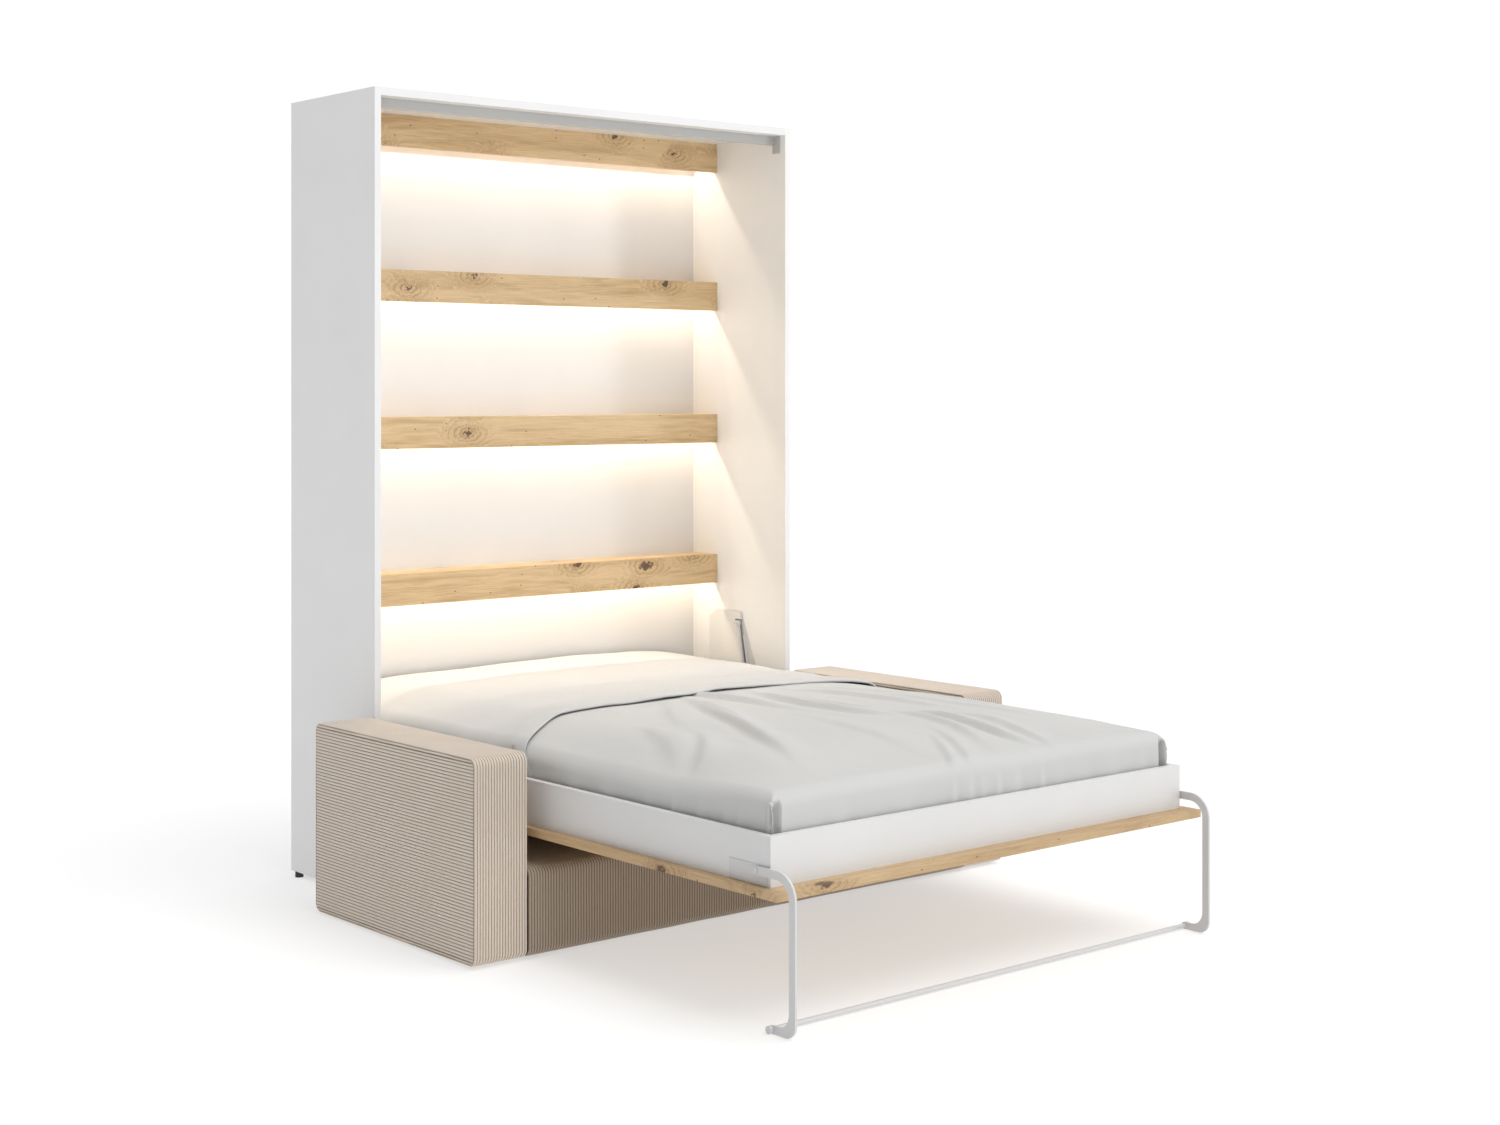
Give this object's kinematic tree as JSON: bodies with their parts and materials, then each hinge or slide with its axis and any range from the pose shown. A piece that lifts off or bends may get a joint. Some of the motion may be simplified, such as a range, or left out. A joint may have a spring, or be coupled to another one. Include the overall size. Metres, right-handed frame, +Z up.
{
  "type": "wall bed",
  "caption": "Vertical fold-down wall bed in an open white cabinet with lit oak beams, a U-shaped folding leg and a corduroy sofa base around it.",
  "frame": {"origin": "centre of the whole object's footprint on the floor, with the bed let down", "axes": "+Z up, +Y from the bed's foot towards the wall, +X to the right of someone facing the wall"},
  "size_m": [1.9, 2.131, 2.25],
  "materials": {
    "oak": "knotty oak decor, satin",
    "aluminium": "satin",
    "light_diffuser": "opal, lit warm white",
    "black_plastic": "matt",
    "corduroy": "wide-wale corduroy",
    "bedding": "plain woven cotton",
    "mattress_cover": "knitted cover",
    "beech": "clear lacquer",
    "white_plastic": "matt",
    "spring_white": "satin",
    "zinc_steel": "bright zinc",
    "white_steel": "satin powder coat",
    "grey_laminate": "light laminate",
    "white_laminate": "matt white laminate"
  },
  "bodies": {
    "cabinet": {"back_panel": "white_laminate", "beam_face_1": "oak", "beam_face_2": "oak", "beam_face_3": "oak", "beam_face_4": "oak", "beam_shelf_1": "oak", "beam_shelf_2": "oak", "beam_shelf_3": "oak", "beam_shelf_4": "oak", "bed_pivot_pins": "zinc_steel", "led_diffusers": "light_diffuser", "led_profile_1": "aluminium", "led_profile_2": "aluminium", "led_profile_3": "aluminium", "led_profile_4": "aluminium", "levelling_feet": "black_plastic", "lift_cover_left": "white_plastic", "lift_cover_right": "white_plastic", "lift_plate_left": "zinc_steel", "lift_plate_right": "zinc_steel", "lift_screws": "zinc_steel", "plinth_rail": "white_laminate", "rear_rail": "white_laminate", "side_panel_left": "white_laminate", "side_panel_right": "white_laminate", "sofa_arm_left": "corduroy", "sofa_arm_right": "corduroy", "sofa_glides": "black_plastic", "sofa_seat": "corduroy", "spring_studs": "zinc_steel", "stop_plate_left": "grey_laminate", "stop_plate_right": "grey_laminate", "stop_rail": "grey_laminate", "top_panel": "white_laminate", "wall_rail": "white_laminate"},
    "bed": {"centre_rail": "beech", "duvet": "bedding", "foot_rail": "white_laminate", "front_board": "oak", "head_rail": "white_laminate", "leg_pins": "zinc_steel", "leg_plate_left": "white_steel", "leg_plate_right": "white_steel", "leg_plate_screws": "zinc_steel", "lever_plate_left": "zinc_steel", "lever_plate_right": "zinc_steel", "mattress": "mattress_cover", "side_rail_left": "white_laminate", "side_rail_right": "white_laminate", "slat_ledger_left": "beech", "slat_ledger_right": "beech", "slats": "beech"},
    "leg_bow": {"crossbar_caps": "white_steel", "leg_crossbar": "white_steel", "leg_left": "white_steel", "leg_right": "white_steel"},
    "spring_cylinder_left": {"spring_cylinder_left": "spring_white"},
    "spring_cylinder_right": {"spring_cylinder_right": "spring_white"},
    "spring_rod_left": {"spring_rod_left": "zinc_steel"},
    "spring_rod_right": {"spring_rod_right": "zinc_steel"}
  },
  "joints": [
    {"name": "bed_fold", "type": "hinge", "parent": "cabinet", "child": "bed", "pos_m": [0, 0.7545, 0.446], "axis": [-1, 0, 0], "range_deg": [0, 90]},
    {"name": "leg_fold", "type": "hinge", "parent": "bed", "child": "leg_bow", "pos_m": [0, -0.9355, 0.35], "axis": [-1, 0, 0], "range_deg": [0, 192]},
    {"name": "spring_swing_left", "type": "hinge", "parent": "cabinet", "child": "spring_cylinder_left", "pos_m": [-0.7335, 0.8195, 0.652], "axis": [-1, 0, 0], "range_deg": [0, 1.41]},
    {"name": "spring_slide_left", "type": "slide", "parent": "spring_cylinder_left", "child": "spring_rod_left", "axis": [0, -0.1892, -0.9819], "range_m": [0, 0.0441]},
    {"name": "spring_swing_right", "type": "hinge", "parent": "cabinet", "child": "spring_cylinder_right", "pos_m": [0.7335, 0.8195, 0.652], "axis": [-1, 0, 0], "range_deg": [0, 1.41]},
    {"name": "spring_slide_right", "type": "slide", "parent": "spring_cylinder_right", "child": "spring_rod_right", "axis": [0, -0.1892, -0.9819], "range_m": [0, 0.0441]}
  ],
  "couplings": [
    {"joint": "leg_fold", "follows": "bed_fold", "ratio": 2.133},
    {"joint": "spring_swing_left", "follows": "bed_fold", "ratio": 0.01542},
    {"joint": "spring_slide_left", "follows": "bed_fold", "m_per_rad": 0.027986},
    {"joint": "spring_swing_right", "follows": "bed_fold", "ratio": 0.01542},
    {"joint": "spring_slide_right", "follows": "bed_fold", "m_per_rad": 0.027986}
  ]
}
